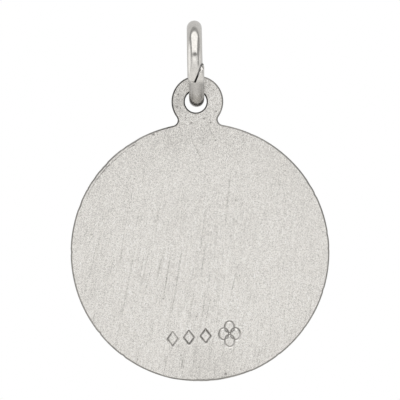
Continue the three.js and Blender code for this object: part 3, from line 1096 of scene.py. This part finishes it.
def make_world():
    """White for the camera. For all else a pale tent, with a softbox in a dark frame and a card below it."""
    world = bpy.data.worlds.new("studio")
    bpy.context.scene.world = world
    world.use_nodes = True
    world.node_tree.nodes.clear()
    w = Nodes(world.node_tree)
    direction = w.nodes.new("ShaderNodeTexCoord").outputs["Generated"]
    x, y, z = w.add("ShaderNodeSeparateXYZ", {0: direction}).outputs
    height = w.math("DEGREES", w.math("ARCTAN2", z, w.product(y, -1.0)))

    def lit(level, share, value):
        return w.total(w.product(level, w.math("SUBTRACT", 1.0, share)), w.product(share, value))

    level = w.ranged(height, *FLOOR_SIDE_HEIGHTS, FLOOR_SIDE, TENT, soft=True)
    level = lit(level, w.ranged(y, 0.0, 0.5, soft=True), FAR_SIDE)
    frame_area = w.product(w.band(height, *FRAME_HEIGHTS, 4), w.band(x, *FRAME_ACROSS, 0.08))
    level = lit(level, frame_area, DARK_GAP)
    left_gap = w.product(w.band(x, *LEFT_GAP_ACROSS, 0.04), LEFT_GAP)
    side_gaps = w.math("MAXIMUM", left_gap, w.band(x, *RIGHT_GAP_ACROSS, 0.05))
    level = lit(level, w.product(side_gaps, w.band(height, *SIDE_GAP_HEIGHTS, 4)), DARK_GAP)
    strip_area = w.product(w.ranged(x, *STRIP_ACROSS, soft=True), w.band(y, *STRIP_BEHIND, 0.08))
    level = lit(level, strip_area, STRIP)
    softbox_area = w.product(w.band(height, *SOFTBOX_HEIGHTS, 3), w.band(x, *SOFTBOX_ACROSS, 0.05))
    level = lit(level, softbox_area, SOFTBOX)
    card_area = w.product(w.band(height, *CARD_HEIGHTS, 3), w.band(x, *CARD_ACROSS, 0.1))
    level = lit(level, card_area, CARD)
    tent = w.mixed(1.0, TENT_COLOUR, w.grey(level), "MULTIPLY")
    is_camera = w.nodes.new("ShaderNodeLightPath").outputs["Is Camera Ray"]
    seen = w.mixed(is_camera, tent, (1.0, 1.0, 1.0))
    background = w.add("ShaderNodeBackground", {"Color": seen})
    w.add("ShaderNodeOutputWorld", {"Surface": background.outputs[0]})


# Floor, in metres
FLOOR_DROP = 0.012
FLOOR_RADIUS = 0.16
FLOOR_SIDES = 96
FLOOR_COLOUR = (0.8, 0.795, 0.785)
FLOOR_GLOW = 0.2


def make_floor():
    """A pale disc that is see-through from below, so that the medal can be looked at from there."""
    low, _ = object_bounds()
    level = low.z - FLOOR_DROP
    turns = np.linspace(0, 2 * math.pi, FLOOR_SIDES, endpoint=False)
    edge = [(FLOOR_RADIUS * math.cos(turn), FLOOR_RADIUS * math.sin(turn), level) for turn in turns]
    floor = new_object("floor", edge, [tuple(range(FLOOR_SIDES))])
    s = Shader("pale_floor", FLOOR_COLOUR, 0.9)
    s.surface.inputs["Metallic"].default_value = 0.0
    s.surface.inputs["Emission Color"].default_value = (*TENT_COLOUR, 1)
    s.surface.inputs["Emission Strength"].default_value = FLOOR_GLOW
    from_below = s.nodes.new("ShaderNodeNewGeometry").outputs["Backfacing"]
    clear = s.nodes.new("ShaderNodeBsdfTransparent").outputs[0]
    seen = s.add("ShaderNodeMixShader", {0: from_below, 1: s.surface.outputs[0], 2: clear}).outputs[0]
    s.plug(s.nodes["Material Output"].inputs["Surface"], seen)
    floor.data.materials.append(s.material)


def make_camera():
    """Level with the medal and square to its back, leaning as the photograph does."""
    data = bpy.data.cameras.new("camera")
    data.sensor_width = SENSOR_WIDTH
    data.lens = SENSOR_WIDTH * CAMERA_DISTANCE * PHOTO_SCALE / PHOTO_SIDE / MM
    data.clip_start, data.clip_end = CAMERA_CLIP
    camera = bpy.data.objects.new("camera", data)
    right = Vector((math.cos(PHOTO_LEAN), 0, -math.sin(PHOTO_LEAN)))
    up = Vector((math.sin(PHOTO_LEAN), 0, math.cos(PHOTO_LEAN)))
    back = Vector((0, -1, 0))
    across = (PHOTO_SIDE / 2 - PHOTO_DISC[0]) / PHOTO_SCALE * MM
    above = (PHOTO_DISC[1] - PHOTO_SIDE / 2) / PHOTO_SCALE * MM
    place = DISC_CENTRE + right * across + up * above + back * CAMERA_DISTANCE
    turn = Matrix((right, up, back)).transposed().to_4x4()
    camera.matrix_world = Matrix.Translation(place) @ turn
    bpy.context.scene.collection.objects.link(camera)
    bpy.context.scene.camera = camera


def main():
    bpy.context.scene.view_settings.view_transform = "Standard"
    make_camera()

    medal = build_medal()
    for material in (satin_back(), edge_wear_and_shade(), matte_field(), raised_relief()):
        medal.data.materials.append(material)
    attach(medal, "medal")
    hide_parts("medal")

    ring = build_ring()
    ring.data.materials.append(polished_wire())
    ring.data.materials.append(sawn_end_and_shade())
    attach(ring, "ring")
    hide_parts("jump_ring")

    make_world()
    make_floor()


main()
